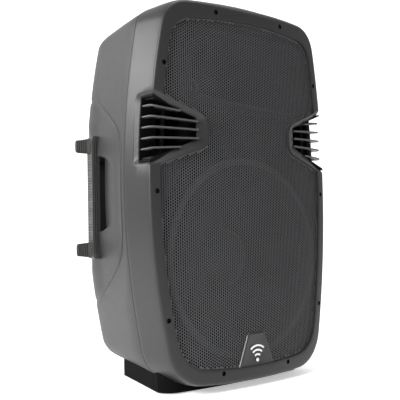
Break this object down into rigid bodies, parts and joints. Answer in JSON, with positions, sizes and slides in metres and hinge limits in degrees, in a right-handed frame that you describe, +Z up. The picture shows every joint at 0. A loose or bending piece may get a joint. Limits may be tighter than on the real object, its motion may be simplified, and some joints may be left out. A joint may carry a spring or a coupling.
{
  "type": "loudspeaker cabinet",
  "caption": "Upright moulded loudspeaker cabinet with perforated front grille, side vents, hand grips, rear amplifier panel and pole socket in its base.",
  "frame": {"origin": "middle of the cabinet's footprint box, on the floor under the feet", "axes": "+Z up, -Y towards the front with the grille, +X to the right seen from the front"},
  "size_m": [0.44, 0.374, 0.6967],
  "materials": {
    "front_plastic": "fine leather-like texture",
    "rear_plastic": "fine texture",
    "base_plastic": "fine texture",
    "black_rubber": "matt",
    "bumper_rubber": "matt, ribbed",
    "black_paint": "powder coat",
    "cast_metal": "painted casting",
    "vent_plastic": "matt",
    "fin_plastic": "satin",
    "cone_paper": "pulp",
    "dust_cap": "pulp",
    "surround_cloth": "doped cloth",
    "spider_cloth": "impregnated cloth",
    "coil_copper": "enamelled wire",
    "zinc_plate": "zinc plated",
    "ferrite": "sintered",
    "black_screw": "blackened steel",
    "horn_plastic": "satin",
    "titanium": "thin foil",
    "driver_cap": "moulded",
    "wadding": "felted",
    "panel_paint": "powder coat",
    "sink_metal": "black anodised",
    "tape": "winding tape",
    "board": "lacquered board",
    "can": "sleeve",
    "socket_metal": "black chrome",
    "latch_metal": "plated",
    "knob_plastic": "satin",
    "switch_plastic": "gloss",
    "lamp": "translucent",
    "badge_plate": "satin",
    "badge_mark": "white",
    "foam": "closed-cell foam",
    "grip_plastic": "ribbed"
  },
  "bodies": {
    "cabinet": {"front_baffle": "front_plastic", "rear_shell": "rear_plastic", "shell_gasket": "foam", "base_plinth": "base_plastic", "rubber_feet": "black_rubber", "pole_socket": "base_plastic", "grille": "black_paint", "rim_screws": "black_screw", "badge_plate": "badge_plate", "badge_mark": "badge_mark", "vent_duct_left": "vent_plastic", "vent_duct_right": "vent_plastic", "vent_fins_left": "fin_plastic", "vent_fins_right": "fin_plastic", "woofer_basket": "cast_metal", "woofer_gasket_ring": "foam", "woofer_surround": "surround_cloth", "woofer_spider": "spider_cloth", "woofer_top_plate": "zinc_plate", "woofer_magnet": "ferrite", "woofer_back_plate": "zinc_plate", "woofer_screws": "black_screw", "horn_flare": "horn_plastic", "horn_screws": "black_screw", "hf_front_plate": "zinc_plate", "hf_magnet": "ferrite", "hf_rear_cap": "driver_cap", "hf_bolts": "zinc_plate", "damping_pads": "wadding", "amp_panel": "panel_paint", "panel_gasket": "foam", "heat_sink": "sink_metal", "transformer": "tape", "circuit_board": "board", "capacitors": "can", "panel_screws": "black_screw", "input_socket_one": "socket_metal", "input_socket_two": "socket_metal", "output_socket": "socket_metal", "power_switch_frame": "switch_plastic", "mains_inlet": "switch_plastic", "fuse_cap": "switch_plastic", "status_lamp": "lamp", "handle_cup_left": "vent_plastic", "handle_cup_right": "vent_plastic", "grip_bar_left": "grip_plastic", "grip_bar_right": "grip_plastic", "bumpers_left": "bumper_rubber", "bumpers_right": "bumper_rubber"},
    "woofer_cone_body": {"woofer_cone": "cone_paper", "woofer_dust_cap": "dust_cap", "voice_coil": "coil_copper"},
    "hf_diaphragm_body": {"hf_diaphragm": "titanium"},
    "latch_one_body": {"latch_one": "latch_metal"},
    "latch_two_body": {"latch_two": "latch_metal"},
    "knob_gain_one_body": {"knob_gain_one": "knob_plastic"},
    "knob_gain_two_body": {"knob_gain_two": "knob_plastic"},
    "knob_low_body": {"knob_low": "knob_plastic"},
    "knob_high_body": {"knob_high": "knob_plastic"},
    "rocker_body": {"power_rocker": "switch_plastic"}
  },
  "joints": [
    {"name": "woofer_travel", "type": "slide", "parent": "cabinet", "child": "woofer_cone_body", "axis": [0, -1, 0], "range_m": [-0.006, 0.006], "stiffness_N_per_m": 6000, "deforming": ["woofer_surround", "woofer_spider"]},
    {"name": "hf_travel", "type": "slide", "parent": "cabinet", "child": "hf_diaphragm_body", "axis": [0, -1, 0], "range_m": [-0.0003, 0.0003], "stiffness_N_per_m": 20000},
    {"name": "rocker_tilt", "type": "hinge", "parent": "cabinet", "child": "rocker_body", "pos_m": [-0.052, 0.167, 0.15], "axis": [1, 0, 0], "range_deg": [0, 16]},
    {"name": "latch_one_press", "type": "slide", "parent": "cabinet", "child": "latch_one_body", "axis": [0, -1, 0], "range_m": [0, 0.002], "stiffness_N_per_m": 400},
    {"name": "latch_two_press", "type": "slide", "parent": "cabinet", "child": "latch_two_body", "axis": [0, -1, 0], "range_m": [0, 0.002], "stiffness_N_per_m": 400},
    {"name": "knob_gain_one_turn", "type": "hinge", "parent": "cabinet", "child": "knob_gain_one_body", "pos_m": [-0.018, 0.17, 0.52], "axis": [0, -1, 0], "range_deg": [-150, 150]},
    {"name": "knob_gain_two_turn", "type": "hinge", "parent": "cabinet", "child": "knob_gain_two_body", "pos_m": [-0.018, 0.17, 0.48], "axis": [0, -1, 0], "range_deg": [-150, 150]},
    {"name": "knob_low_turn", "type": "hinge", "parent": "cabinet", "child": "knob_low_body", "pos_m": [0.024, 0.17, 0.52], "axis": [0, -1, 0], "range_deg": [-150, 150]},
    {"name": "knob_high_turn", "type": "hinge", "parent": "cabinet", "child": "knob_high_body", "pos_m": [0.024, 0.17, 0.48], "axis": [0, -1, 0], "range_deg": [-150, 150]}
  ]
}
